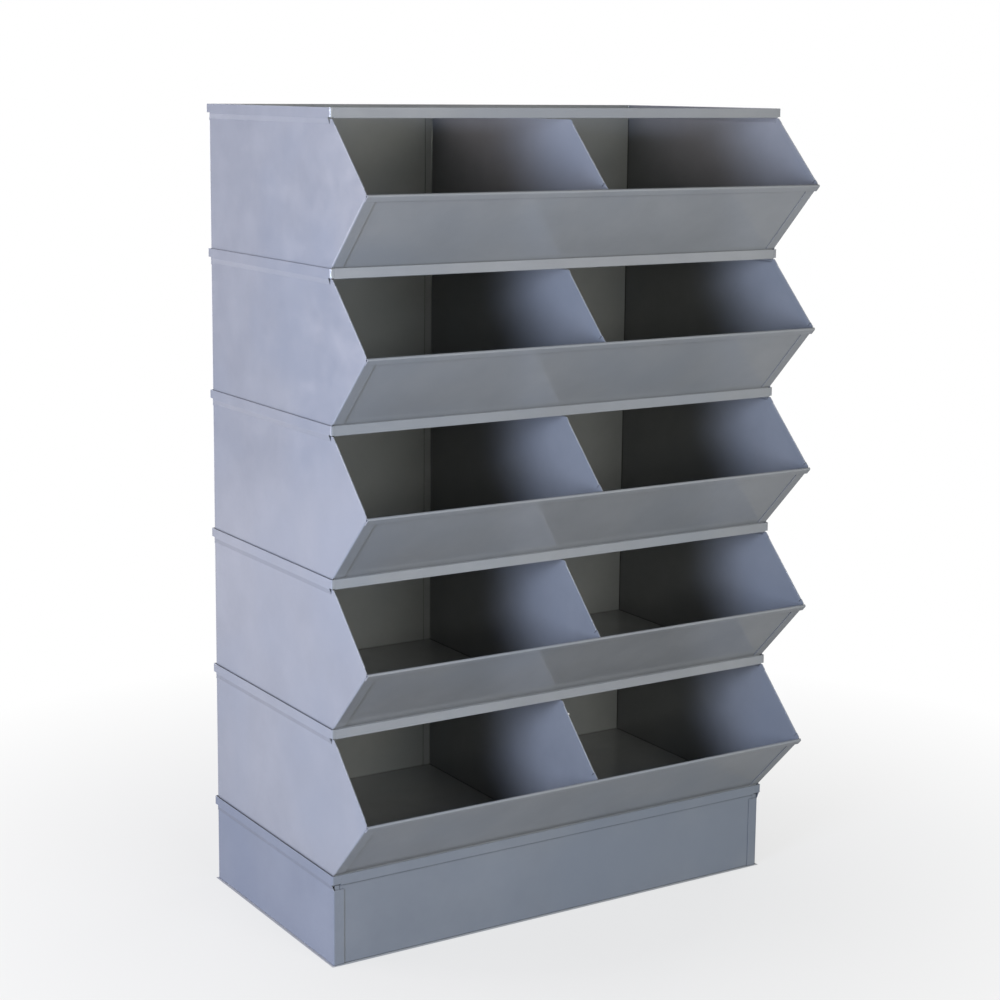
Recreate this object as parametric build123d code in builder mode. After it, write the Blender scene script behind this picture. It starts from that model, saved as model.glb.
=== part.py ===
from build123d import *
import math
import os

os.makedirs("parts", exist_ok=True)

# Stacking bin shelving unit: five open fronted sheet steel bins on a closed base.
# Millimetres, Z up, the mouths face -Y, the origin lies on the floor under the middle of the unit.

# Driving sizes of the unit
sheet = 1.2
fold_radius = 1.8
unit_width = 914.0
body_depth = 465.0
bin_count = 5
bin_pitch = 256.0
base_height = 161.0

# Rim of a bin or of the base, set outwards so that the next bin stands inside it
rim_height = 17.0
joggle_height = 9.0
step_height = 3.0
nest_gap = 2.6
seat_gap = 0.3
back_relief = 10.0
front_relief = 5.0
corner_wrap = 16.0
mouth_wrap = 7.0
tab_gap = 0.8

# Hopper front
nose_reach = 119.5
nose_height = 122.5
brow_reach = 2.5
flange_width = 20.0
flange_inset = 3.0
lip_depth = 13.0
lip_fold = 8.0
hem_width = 9.0
hem_gap = 0.3
hem_inset = 14.0
nose_cut = 5.0
fit_gap = 0.2

# Floor, divider, rail and the folds that stay out of sight
floor_drop = 15.5
floor_turn_down = 5.0
floor_lap = 15.0
floor_corner_relief = 1.0
divider_flange = 15.0
divider_top_gap = 1.5
rail_hem = 11.0
base_turn_in = 25.0
turn_in_space = 5.0

# Fixing holes through a bin's back panel
back_hole_radius = 3.3
back_hole_offset = 331.0
back_hole_height = 34.0

# Levels of a bin above the rim that it stands in, and of the base above the floor
half_sheet = sheet / 2
half_width = unit_width / 2
rim_shift = nest_gap + sheet
rim_drop = rim_height + joggle_height
wall_x = half_width - half_sheet
rim_x = wall_x + rim_shift
floor_half = half_width - sheet - fit_gap
panel_half = floor_half - sheet - fit_gap
rim_half = half_width + rim_shift - corner_wrap - fit_gap
fold_zone = 2 * fold_radius + sheet
hem_step = sheet + hem_gap
hem_radius = half_sheet
hem_zone = 2 * hem_step
joggle_lean = math.atan2(rim_shift, joggle_height)

# A wall's foot stays the seat gap, square to the slope, from the joggle that it stands on
foot_reach = half_sheet + (half_sheet + seat_gap) / math.cos(joggle_lean)
foot_drop = rim_drop - foot_reach * joggle_height / rim_shift

# Lower slanted edge of a bin's side, from its front foot to the nose
slant = math.atan2(nose_height, nose_reach)
slant_length = math.hypot(nose_reach, nose_height)
panel_line = -1.5 * sheet
floor_front = panel_line - fold_radius
lip_inner = fit_gap + half_sheet
lip_outer = lip_inner + hem_step
lip_top = slant_length + fit_gap + half_sheet
lip_round = 0.48 * (lip_outer - panel_line)

# Upper slanted edge of a bin's side, from the nose to the brow under the rim
brow_height = bin_pitch - rim_height
brow_lean = math.atan2(brow_height - nose_height, nose_reach - brow_reach)
brow_length = math.hypot(brow_height - nose_height, nose_reach - brow_reach)
shoulder_along = (bin_pitch - rim_drop - nose_height) / math.sin(brow_lean)

# The unit is centred between the lip's rounded nose and the rear rim
lip_reach = (
    (lip_top - lip_round) * math.cos(slant)
    + (lip_outer - lip_round) * math.sin(slant)
    + lip_round
    + half_sheet
)
front_y = (lip_reach - body_depth - rim_shift) / 2
back_y = front_y + body_depth


def profile_plane(level, across=0.0):
    """Side view: local x runs forward from the body's front face, local y runs up."""
    return Plane(origin=(across, front_y, level), x_dir=(0, -1, 0), z_dir=(-1, 0, 0))


def front_plane(level, forward):
    """Front view: local x runs along X, local y runs up, the normal points forward."""
    return Plane(origin=(0, front_y - forward, level), x_dir=(1, 0, 0), z_dir=(0, -1, 0))


def slant_point(along, outward):
    """Side view point at a distance along the lower slanted edge and outward from it."""
    forward = along * math.cos(slant) + outward * math.sin(slant)
    return (forward, along * math.sin(slant) - outward * math.cos(slant))


def brow_point(along, inward):
    """Side view point at a distance from the nose along the upper slanted edge and inward from it."""
    forward = nose_reach - along * math.cos(brow_lean) - inward * math.sin(brow_lean)
    return (forward, nose_height + along * math.sin(brow_lean) - inward * math.cos(brow_lean))


def slant_plane(level, along):
    """Square to the lower slanted edge: local x runs along X, local y runs into the bin."""
    forward, height = slant_point(along, 0)
    return Plane(
        origin=(0, front_y - forward, level + height),
        x_dir=(1, 0, 0),
        z_dir=(0, -math.cos(slant), math.sin(slant)),
    )


def brow_plane(level, along):
    """Square to the upper slanted edge: local x runs along X, local y runs into the bin."""
    forward, height = brow_point(along, 0)
    return Plane(
        origin=(0, front_y - forward, level + height),
        x_dir=(1, 0, 0),
        z_dir=(0, math.cos(brow_lean), math.sin(brow_lean)),
    )


def sheet_face(points, side):
    """Corner points half a sheet to the left (1) or to the right (-1) of a middle line."""
    headings = [
        math.atan2(end[1] - start[1], end[0] - start[0]) for start, end in zip(points, points[1:])
    ]
    face = []
    for number, (forward, height) in enumerate(points):
        before = headings[max(number - 1, 0)]
        after = headings[min(number, len(headings) - 1)]
        square = (before + after) / 2 + side * math.pi / 2
        reach = half_sheet / math.cos((after - before) / 2)
        face.append(Vector(forward + reach * math.cos(square), height + reach * math.sin(square)))
    return face


def bent_section(plane, points, radius=fold_radius, inside_shows=True):
    """Section of a folded sheet, from the middle line of the metal. Radii are those of that line."""
    bends = radius if isinstance(radius, list) else [radius] * (len(points) - 2)
    left = sheet_face(points, 1)
    right = sheet_face(points, -1)
    left_radii = [0]
    right_radii = [0]
    for before, corner, after, bend in zip(left, left[1:], left[2:], bends):
        outside = bend + half_sheet if bend > 0 else 0
        inside = max(bend - half_sheet, 0) if inside_shows else 0
        turns_left = (corner - before).cross(after - corner).Z > 0
        left_radii.append(inside if turns_left else outside)
        right_radii.append(outside if turns_left else inside)
    corners = left + right[::-1]
    rounding = left_radii + [0, 0] + right_radii[::-1]
    with BuildSketch(plane) as section:
        with BuildLine():
            reached = corners[0]
            for number in range(1, len(corners)):
                corner = corners[number]
                heading = (corner - corners[number - 1]).normalized()
                leaving = (corners[(number + 1) % len(corners)] - corner).normalized()
                trim = rounding[number] * math.tan(math.acos(heading.dot(leaving)) / 2)
                Line(reached, corner - heading * trim)
                reached = corner + leaving * trim
                if trim > 0:
                    TangentArc(corner - heading * trim, reached, tangent=heading)
            Line(reached, corners[0])
        make_face()
    return section.sketch


def flat_outline(plane, points):
    """Closed outline with straight edges."""
    with BuildSketch(plane) as outline:
        with BuildLine():
            Polyline(*points, close=True)
        make_face()
    return outline.sketch


def wall_path(hand, bottom, top):
    """Middle line of a side wall in the front view, from its foot to the start of its rim."""
    shoulder = top - rim_drop
    neck = top - rim_height
    return [
        (hand * wall_x, bottom),
        (hand * wall_x, shoulder),
        (hand * rim_x, neck),
        (hand * rim_x, neck + fold_radius),
    ]


def rim_path(hand, front_wrap):
    """Middle line of a side's rim in plan, wrapped round the front and back corners."""
    front_rim = front_y - rim_shift + half_sheet
    back_rim = back_y + rim_shift - half_sheet
    outer = rim_x + half_sheet
    return [
        (hand * (outer - front_wrap), front_rim),
        (hand * rim_x, front_rim),
        (hand * rim_x, back_rim),
        (hand * (outer - corner_wrap), back_rim),
    ]


def corner_path(hand, corner_y, facing):
    """Middle line in plan of a wall's flange, turned inwards at a front or back corner."""
    return [
        (hand * wall_x, corner_y - facing * fold_zone),
        (hand * wall_x, corner_y - facing * half_sheet),
        (hand * (half_width - flange_width), corner_y - facing * half_sheet),
    ]


def edge_hem_path(middle, hand):
    """Middle line of a safety hem, folded back inwards from a plate's edge."""
    return [
        (middle, hem_zone),
        (middle, half_sheet),
        (middle - hand * hem_step, half_sheet),
        (middle - hand * hem_step, hem_width),
    ]


def bin_side_outline():
    """Side view outline of a bin's wall, set back where a flange or a hem takes over."""
    shoulder = bin_pitch - rim_drop
    rim_start = brow_height + fold_radius
    flange_end = slant_length - flange_inset - nose_cut
    hem_end = shoulder_along - half_sheet
    return [
        (-body_depth, -foot_drop),
        (-front_relief - tab_gap, -foot_drop),
        (-front_relief - tab_gap, -rim_height),
        (0, -rim_height),
        (0, 0),
        slant_point(flange_inset, 0),
        slant_point(flange_inset, -fold_zone),
        slant_point(flange_end, -fold_zone),
        slant_point(flange_end, 0),
        slant_point(slant_length - nose_cut, 0),
        brow_point(nose_cut, 0),
        brow_point(hem_inset, 0),
        brow_point(hem_inset, hem_zone),
        brow_point(hem_end, hem_zone),
        brow_point(hem_end, 0),
        brow_point(shoulder_along, 0),
        (-front_relief, shoulder),
        (-front_relief, rim_start),
        (back_relief - body_depth, rim_start),
        (back_relief - body_depth, brow_height),
        (-body_depth, shoulder),
        (-body_depth, shoulder - flange_inset),
        (fold_zone - body_depth, shoulder - flange_inset),
        (fold_zone - body_depth, flange_inset - rim_height),
        (-body_depth, flange_inset - rim_height),
    ]


def base_side_outline():
    """Side view outline of the base's wall, set back where its flanges take over."""
    shoulder = base_height - rim_drop
    neck = base_height - rim_height
    rim_start = neck + fold_radius
    turn_in_end = base_turn_in + turn_in_space
    return [
        (fold_zone - body_depth, 0),
        (turn_in_end - body_depth, 0),
        (turn_in_end - body_depth, fold_zone),
        (-turn_in_end, fold_zone),
        (-turn_in_end, 0),
        (-fold_zone, 0),
        (-fold_zone, shoulder - tab_gap),
        (0, shoulder - tab_gap),
        (0, rim_start),
        (back_relief - body_depth, rim_start),
        (back_relief - body_depth, neck),
        (-body_depth, shoulder),
        (-body_depth, shoulder - tab_gap),
        (fold_zone - body_depth, shoulder - tab_gap),
    ]


def back_outline(bottom, top):
    """Front view outline of a back panel, narrower at its rim to clear the corners."""
    shoulder = top - rim_drop
    neck = top - rim_height
    right = [
        (panel_half, bottom),
        (panel_half, shoulder),
        (rim_half, neck),
        (rim_half, top),
    ]
    left = [(-across, height) for across, height in reversed(right)]
    return right + left


def end_panel_path(facing, bottom, top, turn_in, joggle):
    """Middle line in the side view of a front (1) or back (-1) panel with its joggled rim."""
    face = 0 if facing > 0 else -body_depth
    panel = face - facing * 1.5 * sheet
    rim = face + facing * (rim_shift - half_sheet)
    upright = [
        (panel, top - rim_height - joggle),
        (rim, top - rim_height),
        (rim, top),
    ]
    if turn_in:
        foot = bottom + half_sheet
        return [(panel - facing * turn_in, foot), (panel, foot)] + upright
    return [(panel, bottom)] + upright


def save(piece, name):
    piece.label = name
    export_step(piece, f"parts/{name}.step")


def make_bin_side(name, level, hand):
    """Bin side: wall, joggled rim, inward flanges and a hem along the mouth."""
    rim_start = brow_height + fold_radius
    shoulder = bin_pitch - rim_drop
    plan = Plane.XY.offset(level)
    with BuildPart() as side:
        extrude(
            bent_section(front_plane(level, nose_reach), wall_path(hand, -foot_drop, bin_pitch)),
            amount=-(nose_reach + body_depth),
        )
        extrude(
            flat_outline(profile_plane(level), bin_side_outline()),
            amount=unit_width,
            both=True,
            mode=Mode.INTERSECT,
        )
        extrude(
            bent_section(plan.offset(rim_start), rim_path(hand, mouth_wrap)),
            amount=bin_pitch - rim_start,
        )
        extrude(
            bent_section(
                plan.offset(flange_inset - rim_height),
                corner_path(hand, back_y, 1),
                inside_shows=False,
            ),
            amount=shoulder + rim_height - 2 * flange_inset,
        )
        slant_flange = [
            (hand * wall_x, fold_zone),
            (hand * wall_x, half_sheet),
            (hand * (half_width - flange_width), half_sheet),
        ]
        extrude(
            bent_section(slant_plane(level, flange_inset), slant_flange, inside_shows=False),
            amount=slant_length - 2 * flange_inset - nose_cut,
        )
        extrude(
            bent_section(
                brow_plane(level, hem_inset), edge_hem_path(hand * wall_x, hand), hem_radius
            ),
            amount=shoulder_along - half_sheet - hem_inset,
        )
        # The corner of the wall runs on flat beside the joggle, with a slit under the rim
        tab_outline = [
            (tab_gap - front_relief, shoulder),
            brow_point(shoulder_along, 0),
            brow_point(brow_length - tab_gap / math.sin(brow_lean), 0),
            (tab_gap - front_relief, brow_height - tab_gap),
        ]
        extrude(
            flat_outline(profile_plane(level, hand * half_width), tab_outline),
            amount=hand * sheet,
        )
    save(side.part, name)


def make_base_side(name, hand):
    """Base side: wall, joggled rim, corner flanges and a foot turned in under the unit."""
    neck = base_height - rim_height
    shoulder = base_height - rim_drop
    rim_start = neck + fold_radius
    turn_in_end = base_turn_in + turn_in_space
    with BuildPart() as side:
        extrude(
            bent_section(front_plane(0, 0), wall_path(hand, 0, base_height)),
            amount=-body_depth,
        )
        extrude(
            flat_outline(profile_plane(0), base_side_outline()),
            amount=unit_width,
            both=True,
            mode=Mode.INTERSECT,
        )
        extrude(
            bent_section(Plane.XY.offset(rim_start), rim_path(hand, corner_wrap)),
            amount=base_height - rim_start,
        )
        for corner_y, facing in ((front_y, -1), (back_y, 1)):
            extrude(
                bent_section(Plane.XY, corner_path(hand, corner_y, facing), inside_shows=False),
                amount=shoulder - tab_gap,
            )
        foot_flange = [
            (hand * wall_x, fold_zone),
            (hand * wall_x, half_sheet),
            (hand * (half_width - base_turn_in), half_sheet),
        ]
        extrude(
            bent_section(front_plane(0, -turn_in_end), foot_flange, inside_shows=False),
            amount=2 * turn_in_end - body_depth,
        )
    save(side.part, name)


def make_base_front(name):
    """Base front: rim set out by a sharp step, and flat ears behind the sides' wrapped rims."""
    shoulder = base_height - rim_drop
    rim_section = end_panel_path(1, 0, base_height, base_turn_in, step_height)
    wall_section = rim_section[:2] + [(panel_line, shoulder)]
    ear_start = rim_half + tab_gap
    ear_top = base_height - floor_drop - 2 * sheet - tab_gap
    with BuildPart() as front:
        extrude(bent_section(profile_plane(0), rim_section), amount=rim_half, both=True)
        extrude(bent_section(profile_plane(0), wall_section), amount=panel_half, both=True)
        for hand in (-1, 1):
            ear = [
                (hand * ear_start, shoulder),
                (hand * panel_half, shoulder),
                (hand * panel_half, ear_top),
                (hand * ear_start, ear_top),
            ]
            extrude(flat_outline(front_plane(0, -sheet), ear), amount=-sheet)
    save(front.part, name)


def make_back(name, level, bottom, top, turn_in, hole_places):
    """Back panel with its joggled rim, welded inside the flanges of the sides."""
    with BuildPart() as back:
        extrude(
            bent_section(
                profile_plane(level), end_panel_path(-1, bottom, top, turn_in, joggle_height)
            ),
            amount=half_width,
            both=True,
        )
        extrude(
            flat_outline(front_plane(level, 0), back_outline(bottom, top)),
            amount=2 * body_depth,
            both=True,
            mode=Mode.INTERSECT,
        )
        if hole_places:
            with Locations(front_plane(level, -body_depth)):
                with Locations(*hole_places):
                    Hole(back_hole_radius, depth=body_depth / 2)
    save(back.part, name)


def make_bin_floor(name, level):
    """Floor pan: plain at the front, turned down at the back and the sides."""
    middle = -floor_drop - half_sheet
    back_end = 2.5 * sheet - body_depth
    side_end = floor_half - half_sheet
    main_half = floor_half - sheet - floor_corner_relief
    side_length = floor_front - back_end - half_sheet - floor_corner_relief
    with BuildPart() as floor_pan:
        long_path = [
            (floor_front, middle),
            (back_end, middle),
            (back_end, middle - floor_turn_down),
        ]
        extrude(bent_section(profile_plane(level), long_path, 0), amount=main_half, both=True)
        for hand in (-1, 1):
            side_path = [
                (hand * main_half, middle),
                (hand * side_end, middle),
                (hand * side_end, middle - floor_turn_down),
            ]
            extrude(
                bent_section(front_plane(level, floor_front), side_path, 0),
                amount=-side_length,
            )
    save(floor_pan.part, name)


def make_bin_front(name, level):
    """Hopper front: lap under the floor, slanted panel and a rolled lip on top."""
    lap = -floor_drop - 1.5 * sheet
    knee_along = panel_line * (1 - math.sin(slant)) / math.cos(slant)
    lip_bottom = lip_top - lip_depth
    panel_path = [
        (panel_line - floor_lap, lap),
        (panel_line, lap),
        slant_point(knee_along, panel_line),
        slant_point(lip_top - lip_round, panel_line),
    ]
    lip_path = [
        slant_point(lip_top - lip_round - half_sheet, panel_line),
        slant_point(lip_top, panel_line),
        slant_point(lip_top, lip_outer),
        slant_point(lip_bottom, lip_outer),
        slant_point(lip_bottom, lip_inner),
        slant_point(lip_bottom + lip_fold, lip_inner),
    ]
    with BuildPart() as front:
        extrude(
            bent_section(profile_plane(level), panel_path, inside_shows=False),
            amount=panel_half,
            both=True,
        )
        extrude(
            bent_section(
                profile_plane(level), lip_path, [lip_round, lip_round, hem_radius, hem_radius]
            ),
            amount=half_width,
            both=True,
        )
    save(front.part, name)


def make_bin_rail(name, level):
    """Rail across the top of the mouth, hemmed along its lower edge, laid behind the rim wraps."""
    outer = rim_shift - half_sheet
    inner = outer - hem_step
    low = brow_height + half_sheet
    with BuildPart() as rail:
        full_path = [(outer, bin_pitch), (outer, low), (inner, low), (inner, low + rail_hem)]
        extrude(
            bent_section(profile_plane(level), full_path, hem_radius),
            amount=half_width + rim_shift - mouth_wrap - fit_gap,
            both=True,
        )
        with BuildSketch(profile_plane(level)):
            with BuildLine():
                Polyline((inner, low + hem_radius), (inner, low + rail_hem))
            trace(line_width=sheet)
        extrude(amount=half_width, both=True)
    save(rail.part, name)


def make_bin_divider(name, level):
    """Middle divider: flange against the back panel and a hem along the mouth."""
    top = bin_pitch - floor_drop - 2 * sheet - divider_top_gap
    back_face = 2 * sheet - body_depth
    toe = floor_front - fit_gap
    panel_face = -2 * sheet - fit_gap
    knee_along = (toe - panel_face * math.sin(slant)) / math.cos(slant)
    low_along = -panel_face / math.sin(slant + brow_lean)
    high_along = (top - nose_height) / math.sin(brow_lean)
    hem_start = low_along + hem_inset
    hem_end = high_along - hem_width
    notch_floor = bin_pitch - foot_drop - divider_top_gap
    notch_end = back_face + sheet + divider_top_gap
    outline = [
        (back_face + fold_zone, -floor_drop),
        (toe, -floor_drop),
        slant_point(knee_along, panel_face),
        brow_point(low_along, 0),
        brow_point(hem_start, 0),
        brow_point(hem_start, hem_zone),
        brow_point(hem_end, hem_zone),
        brow_point(hem_end, 0),
        brow_point(high_along, 0),
        (notch_end, top),
        (notch_end, notch_floor),
        (back_face + fold_zone, notch_floor),
    ]
    flange_path = [
        (0, back_y - 2 * sheet - fold_zone),
        (0, back_y - 2 * sheet - half_sheet),
        (-divider_flange, back_y - 2 * sheet - half_sheet),
    ]
    with BuildPart() as divider:
        extrude(flat_outline(profile_plane(level), outline), amount=half_sheet, both=True)
        extrude(
            bent_section(Plane.XY.offset(level - floor_drop), flange_path),
            amount=notch_floor + floor_drop,
        )
        extrude(
            bent_section(brow_plane(level, hem_start), edge_hem_path(0, 1), hem_radius),
            amount=hem_end - hem_start,
        )
    save(divider.part, name)


make_base_side("base_side_left", -1)
make_base_side("base_side_right", 1)
make_base_front("base_front")
make_back("base_back", 0, 0, base_height, base_turn_in, [])

for number in range(1, bin_count + 1):
    stand_level = base_height + (number - 1) * bin_pitch
    holes = [(-back_hole_offset, back_hole_height), (back_hole_offset, back_hole_height)]
    make_bin_side(f"bin_{number}_side_left", stand_level, -1)
    make_bin_side(f"bin_{number}_side_right", stand_level, 1)
    make_back(f"bin_{number}_back", stand_level, -foot_drop, bin_pitch, 0, holes)
    make_bin_floor(f"bin_{number}_floor", stand_level)
    make_bin_front(f"bin_{number}_front", stand_level)
    make_bin_rail(f"bin_{number}_rail", stand_level)
    make_bin_divider(f"bin_{number}_divider", stand_level)
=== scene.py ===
import math

import bpy
from mathutils import Matrix, Vector


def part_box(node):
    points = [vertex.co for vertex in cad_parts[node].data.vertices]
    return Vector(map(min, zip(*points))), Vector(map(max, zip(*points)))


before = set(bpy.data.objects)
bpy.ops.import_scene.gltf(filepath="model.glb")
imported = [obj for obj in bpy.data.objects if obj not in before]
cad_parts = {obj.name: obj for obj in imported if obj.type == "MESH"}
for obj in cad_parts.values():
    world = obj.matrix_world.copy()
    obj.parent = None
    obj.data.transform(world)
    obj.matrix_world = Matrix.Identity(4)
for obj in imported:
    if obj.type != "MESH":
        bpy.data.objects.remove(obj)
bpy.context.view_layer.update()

# Camera, worked out from the corners of the unit in the photograph. Metres and radians.
CAMERA_PLACE = Vector((-2.0013, -3.1338, 1.4800))
CAMERA_YAW = 0.5627
CAMERA_PITCH = -0.1604
CAMERA_ROLL = 0.0096
FOCAL_PIXELS = 2076.0
IMAGE_PIXELS = 1000
SENSOR_MM = 36.0
AXIS_ROW = 420
CLIP_START = 0.1
CLIP_END = 200.0

# Enamel of the bins and of the base, linear RGB: pale, dark and cool patches
BIN_PAINT = ((0.241, 0.246, 0.258), (0.213, 0.218, 0.231), (0.204, 0.218, 0.244))
BASE_PAINT = ((0.174, 0.188, 0.217), (0.154, 0.168, 0.197), (0.143, 0.162, 0.200))
# Edges lighter: worn paint, and a painted highlight along the rounded edges
WORN_AND_HIGHLIT_EDGE = (0.42, 0.43, 0.45)
# Painted shade in the crevices and seams where sheets lap
SEAM_SHADE_TONE = (0.020, 0.020, 0.023)
PAINT_INDEX = 1.7
ROUGH_LOW = 0.12
ROUGH_HIGH = 0.18
RUB_DULLING = 0.05

# How far each layer covers the paint under it
CLOUD_SHARE = 0.6
EDGE_SHARE = 0.55
SEAM_SHADE_SHARE = 0.75

# Sizes in metres for the marks in the enamel and for the reach of the painted seam shade
EDGE_WIDTH = 0.0009
SEAM_SHADE_REACH = 0.0035
PEEL_HEIGHT = 0.0003
PEEL_STRENGTH = 0.08
EDGE_SAMPLES = 4
SEAM_SHADE_SAMPLES = 6

# Noise patterns: scale, detail and roughness
MOTTLE = (9.0, 4.0, 0.6)
CLOUDS = (3.5, 2.0, 0.5)
EDGE_BREAKS = (45.0, 4.0, 0.6)
RUBS = (1.0, 4.0, 0.6)
RUB_STRETCH = (6.0, 6.0, 22.0)
SHEEN = (30.0, 3.0, 0.55)
ORANGE_PEEL = (700.0, 2.0, 0.5)
FLOOR_PATCHES = (2.0, 2.0, 0.5)

# Studio floor, linear RGB, and the distances in metres over which it fades to white
FLOOR_SIZE = 60.0
FLOOR_DARK = (0.42, 0.42, 0.42)
FLOOR_PALE = (0.46, 0.46, 0.46)
FADE_START = 0.4
FADE_END = 1.6
WHITE_NEAR = 0.70

# Light that comes from everywhere, and where the soft lights stand, in metres
AMBIENT_COLOR = (0.95, 0.97, 1.0)
AMBIENT_STRENGTH = 0.014
WHITE = (1.0, 1.0, 1.0)
FAR = 4.2
NEAR = 2.3
HIGHEST_TARGET = 1.2


def new_material(name):
    """Empty node material with its output and a Principled shader."""
    material = bpy.data.materials.new(name)
    material.use_nodes = True
    tree = material.node_tree
    tree.nodes.clear()
    output = tree.nodes.new("ShaderNodeOutputMaterial")
    shader = tree.nodes.new("ShaderNodeBsdfPrincipled")
    tree.links.new(shader.outputs["BSDF"], output.inputs["Surface"])
    return material, tree, shader, output


def noise(tree, coordinates, scale, detail, roughness):
    node = tree.nodes.new("ShaderNodeTexNoise")
    node.inputs["Scale"].default_value = scale
    node.inputs["Detail"].default_value = detail
    node.inputs["Roughness"].default_value = roughness
    tree.links.new(coordinates, node.inputs["Vector"])
    return node.outputs["Fac"]


def ramp(tree, value, low, high, low_value=0.0, high_value=1.0):
    node = tree.nodes.new("ShaderNodeMapRange")
    node.clamp = True
    node.inputs["From Min"].default_value = low
    node.inputs["From Max"].default_value = high
    node.inputs["To Min"].default_value = low_value
    node.inputs["To Max"].default_value = high_value
    tree.links.new(value, node.inputs["Value"])
    return node.outputs["Result"]


def calculate(tree, operation, *values):
    node = tree.nodes.new("ShaderNodeMath")
    node.operation = operation
    for socket, value in zip(node.inputs, values):
        if isinstance(value, float):
            socket.default_value = value
        else:
            tree.links.new(value, socket)
    return node.outputs[0]


def mix_color(tree, factor, first, second):
    node = tree.nodes.new("ShaderNodeMix")
    node.data_type = "RGBA"
    tree.links.new(factor, node.inputs["Factor"])
    for socket, color in ((node.inputs[6], first), (node.inputs[7], second)):
        if isinstance(color, tuple):
            socket.default_value = (*color, 1.0)
        else:
            tree.links.new(color, socket)
    return node.outputs[2]


def mix_shader(tree, factor, first, second, output):
    node = tree.nodes.new("ShaderNodeMixShader")
    for socket, source in zip(node.inputs, (factor, first, second)):
        tree.links.new(source, socket)
    tree.links.new(node.outputs["Shader"], output.inputs["Surface"])


def emboss(tree, height, strength, distance):
    node = tree.nodes.new("ShaderNodeBump")
    node.inputs["Strength"].default_value = strength
    node.inputs["Distance"].default_value = distance
    tree.links.new(height, node.inputs["Height"])
    return node.outputs["Normal"]


def worn_and_highlit_edges(tree, coordinates):
    """1 along the cut and folded edges, broken up by a fine noise: worn paint and a painted
    highlight along the edges.
    """
    bevel = tree.nodes.new("ShaderNodeBevel")
    bevel.samples = EDGE_SAMPLES
    bevel.inputs["Radius"].default_value = EDGE_WIDTH
    geometry = tree.nodes.new("ShaderNodeNewGeometry")
    likeness = tree.nodes.new("ShaderNodeVectorMath")
    likeness.operation = "DOT_PRODUCT"
    tree.links.new(bevel.outputs["Normal"], likeness.inputs[0])
    tree.links.new(geometry.outputs["Normal"], likeness.inputs[1])
    edge = ramp(tree, likeness.outputs["Value"], 0.80, 0.985, 1.0, 0.0)
    broken = ramp(tree, noise(tree, coordinates, *EDGE_BREAKS), 0.32, 0.62, 0.25, 1.0)
    return calculate(tree, "MULTIPLY", edge, broken)


def shade_in_seams(tree):
    """1 in the narrow gaps and corners where sheets lap: painted shade, found by ambient
    occlusion.
    """
    occlusion = tree.nodes.new("ShaderNodeAmbientOcclusion")
    occlusion.samples = SEAM_SHADE_SAMPLES
    occlusion.inputs["Distance"].default_value = SEAM_SHADE_REACH
    return ramp(tree, occlusion.outputs["AO"], 0.35, 0.92, 1.0, 0.0)


def rubs(tree, coordinates):
    """Broad rubbed places where the gloss is duller."""
    stretch = tree.nodes.new("ShaderNodeMapping")
    stretch.inputs["Scale"].default_value = RUB_STRETCH
    tree.links.new(coordinates, stretch.inputs["Vector"])
    return ramp(tree, noise(tree, stretch.outputs["Vector"], *RUBS), 0.52, 0.72)


def make_paint(name, tones):
    """Semi-gloss enamel on sheet steel: clouds, orange peel, uneven gloss, worn edges with a
    painted highlight, painted shade in seams.
    """
    pale, dark, cool = tones
    material, tree, shader, _ = new_material(name)
    coordinates = tree.nodes.new("ShaderNodeTexCoord").outputs["Object"]
    mottle = noise(tree, coordinates, *MOTTLE)
    base = mix_color(tree, ramp(tree, mottle, 0.3, 0.7), dark, pale)
    clouds = ramp(tree, noise(tree, coordinates, *CLOUDS), 0.45, 0.65, 0.0, CLOUD_SHARE)
    base = mix_color(tree, clouds, base, cool)
    rubbed = rubs(tree, coordinates)
    # Edges lightened: worn paint and a painted edge highlight
    edges = calculate(tree, "MULTIPLY", worn_and_highlit_edges(tree, coordinates), EDGE_SHARE)
    base = mix_color(tree, edges, base, WORN_AND_HIGHLIT_EDGE)
    # Painted shade: crevices and seams darkened where ambient occlusion finds nearby surfaces
    crevice_shade = calculate(tree, "MULTIPLY", shade_in_seams(tree), SEAM_SHADE_SHARE)
    base = mix_color(tree, crevice_shade, base, SEAM_SHADE_TONE)
    tree.links.new(base, shader.inputs["Base Color"])
    gloss = ramp(tree, noise(tree, coordinates, *SHEEN), 0.3, 0.7, ROUGH_LOW, ROUGH_HIGH)
    dulled = calculate(tree, "MULTIPLY", rubbed, RUB_DULLING)
    tree.links.new(calculate(tree, "ADD", gloss, dulled), shader.inputs["Roughness"])
    shader.inputs["IOR"].default_value = PAINT_INDEX
    peel = noise(tree, coordinates, *ORANGE_PEEL)
    normal = emboss(tree, peel, PEEL_STRENGTH, PEEL_HEIGHT)
    tree.links.new(normal, shader.inputs["Normal"])
    return material


def paint_frame():
    """The base gets a darker, bluer copy of the enamel than the bins, so the unit is darker
    towards the bottom.
    """
    bin_paint = make_paint("bin_enamel", BIN_PAINT)
    base_paint = make_paint("base_enamel", BASE_PAINT)
    for name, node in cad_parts.items():
        node.data.materials.clear()
        node.data.materials.append(base_paint if name.startswith("base") else bin_paint)


def beyond_footprint(tree, coordinates):
    """1 outside the base's footprint and 0 under it, so that the closed base stays dark inside."""
    split = tree.nodes.new("ShaderNodeSeparateXYZ")
    tree.links.new(coordinates, split.inputs[0])
    low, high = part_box("base_side_left")[0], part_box("base_side_right")[1]
    edges = []
    for axis in (0, 1):
        middle = (low[axis] + high[axis]) / 2
        reach = (high[axis] - low[axis]) / 2
        offset = calculate(tree, "SUBTRACT", split.outputs[axis], middle)
        away = calculate(tree, "ABSOLUTE", offset)
        edges.append(calculate(tree, "SUBTRACT", away, reach))
    return calculate(tree, "GREATER_THAN", calculate(tree, "MAXIMUM", *edges), 0.0)


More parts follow.
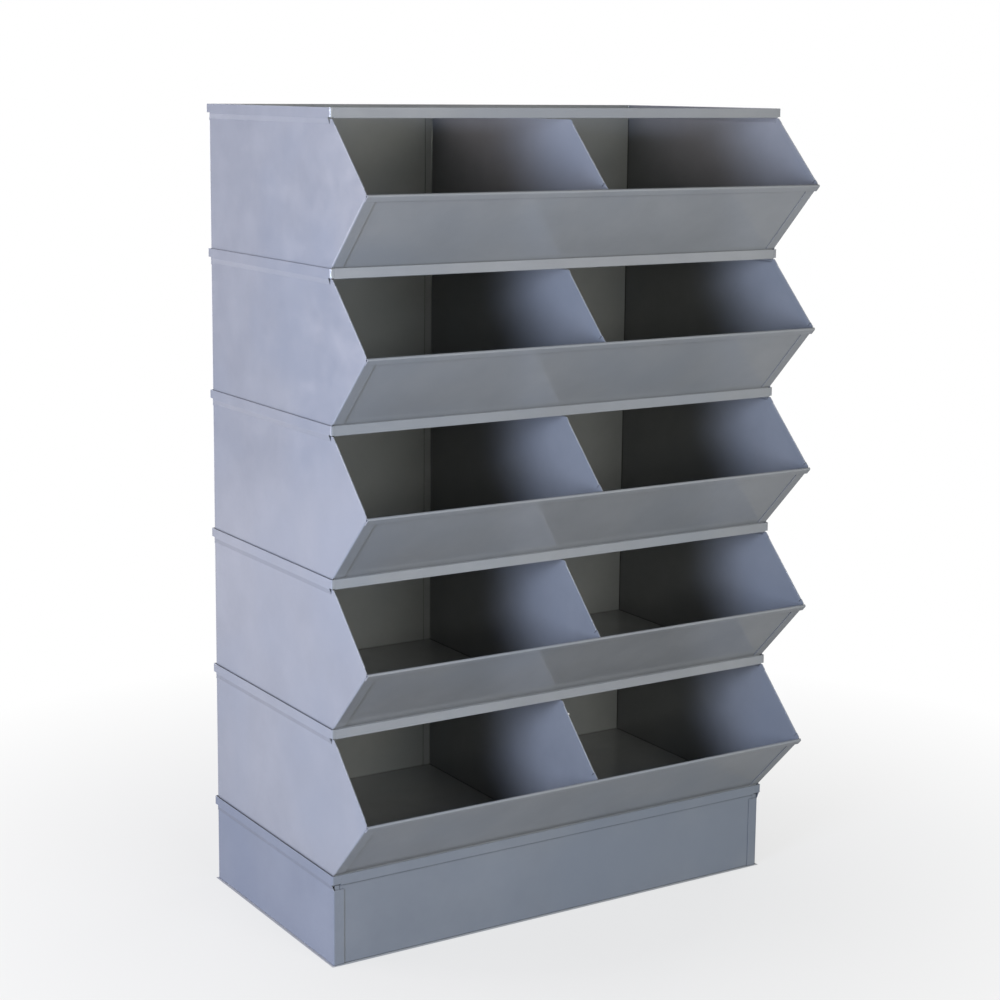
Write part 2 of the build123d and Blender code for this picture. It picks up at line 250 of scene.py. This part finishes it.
def make_floor():
    """Pale floor that fades into the white background for the camera alone."""
    bpy.ops.mesh.primitive_plane_add(size=FLOOR_SIZE, location=(0, 0, 0))
    floor = bpy.context.object
    floor.name = "studio_floor"
    material, tree, shader, output = new_material("studio_floor")
    coordinates = tree.nodes.new("ShaderNodeTexCoord").outputs["Object"]
    shader.inputs["Roughness"].default_value = 0.9
    shader.inputs["Specular IOR Level"].default_value = 0.0
    patch = noise(tree, coordinates, *FLOOR_PATCHES)
    tone = mix_color(tree, patch, FLOOR_DARK, FLOOR_PALE)
    tree.links.new(tone, shader.inputs["Base Color"])
    length = tree.nodes.new("ShaderNodeVectorMath")
    length.operation = "LENGTH"
    tree.links.new(coordinates, length.inputs[0])
    away = ramp(tree, length.outputs["Value"], FADE_START, FADE_END, WHITE_NEAR, 1.0)
    path = tree.nodes.new("ShaderNodeLightPath")
    seen = calculate(tree, "MULTIPLY", path.outputs["Is Camera Ray"], away)
    factor = calculate(tree, "MULTIPLY", seen, beyond_footprint(tree, coordinates))
    white = tree.nodes.new("ShaderNodeEmission")
    mix_shader(tree, factor, shader.outputs["BSDF"], white.outputs["Emission"], output)
    floor.data.materials.append(material)


def background(tree, color, strength):
    node = tree.nodes.new("ShaderNodeBackground")
    node.inputs["Color"].default_value = (*color, 1.0)
    node.inputs["Strength"].default_value = strength
    return node.outputs[0]


def make_world():
    """White for camera and transmission rays; every other ray, glossy too, gets dim soft light."""
    world = bpy.data.worlds.new("studio")
    bpy.context.scene.world = world
    world.use_nodes = True
    tree = world.node_tree
    tree.nodes.clear()
    output = tree.nodes.new("ShaderNodeOutputWorld")
    path = tree.nodes.new("ShaderNodeLightPath")
    rays = [path.outputs["Is Camera Ray"], path.outputs["Is Transmission Ray"]]
    seen = calculate(tree, "MAXIMUM", *rays)
    ambient = background(tree, AMBIENT_COLOR, AMBIENT_STRENGTH)
    white = background(tree, WHITE, 1.0)
    mix_shader(tree, seen, ambient, white, output)


def make_ring_light(name, distance, bearing, height, size, power, color):
    """Soft square light on a circle round the unit, bearing in degrees from front to left."""
    data = bpy.data.lights.new(name, "AREA")
    data.shape = "RECTANGLE"
    data.size = data.size_y = size
    data.energy = power
    data.color = color
    light = bpy.data.objects.new(name, data)
    bpy.context.scene.collection.objects.link(light)
    turn = math.radians(bearing)
    place = Vector((-distance * math.sin(turn), -distance * math.cos(turn), height))
    target = Vector((0.0, 0.0, min(height, HIGHEST_TARGET)))
    light.location = place
    light.rotation_euler = (target - place).to_track_quat("-Z", "Y").to_euler()


def make_lights():
    """The left lights keep clear of what the left side mirrors at azimuths 225 and 270."""
    make_ring_light("left_front", FAR, 67, 1.2, 1.3, 182.0, (0.83, 0.96, 1.28))
    make_ring_light("left_rear", FAR, 120, 1.5, 3.4, 160.0, (1.05, 0.97, 1.00))
    make_ring_light("front", FAR, -3, 1.5, 2.0, 118.0, (1.02, 1.03, 0.90))
    make_ring_light("right_near", NEAR, -25, 1.5, 1.7, 5.0, (1.05, 0.98, 0.97))
    make_ring_light("right_front", FAR, -70, 0.9, 2.4, 19.0, (0.98, 1.00, 1.00))
    make_ring_light("right_side", FAR, -105, 1.3, 3.0, 93.0, (0.96, 0.98, 1.05))
    make_ring_light("rear", FAR, 180, 1.3, 3.0, 64.0, (0.96, 0.98, 1.05))


def make_camera():
    data = bpy.data.cameras.new("camera")
    camera = bpy.data.objects.new("camera", data)
    bpy.context.scene.collection.objects.link(camera)
    data.sensor_width = SENSOR_MM
    data.lens = FOCAL_PIXELS / IMAGE_PIXELS * SENSOR_MM
    data.shift_y = (AXIS_ROW - IMAGE_PIXELS / 2) / IMAGE_PIXELS
    data.clip_start = CLIP_START
    data.clip_end = CLIP_END
    ahead = Vector((
        math.sin(CAMERA_YAW) * math.cos(CAMERA_PITCH),
        math.cos(CAMERA_YAW) * math.cos(CAMERA_PITCH),
        math.sin(CAMERA_PITCH),
    ))
    level_right = Vector((math.cos(CAMERA_YAW), -math.sin(CAMERA_YAW), 0.0))
    level_up = level_right.cross(ahead)
    right = math.cos(CAMERA_ROLL) * level_right + math.sin(CAMERA_ROLL) * level_up
    up = math.cos(CAMERA_ROLL) * level_up - math.sin(CAMERA_ROLL) * level_right
    turn = Matrix((right, up, -ahead)).transposed()
    camera.matrix_world = Matrix.Translation(CAMERA_PLACE) @ turn.to_4x4()
    bpy.context.scene.camera = camera


make_camera()
paint_frame()
make_floor()
make_world()
make_lights()

bpy.context.scene.view_settings.view_transform = "Standard"
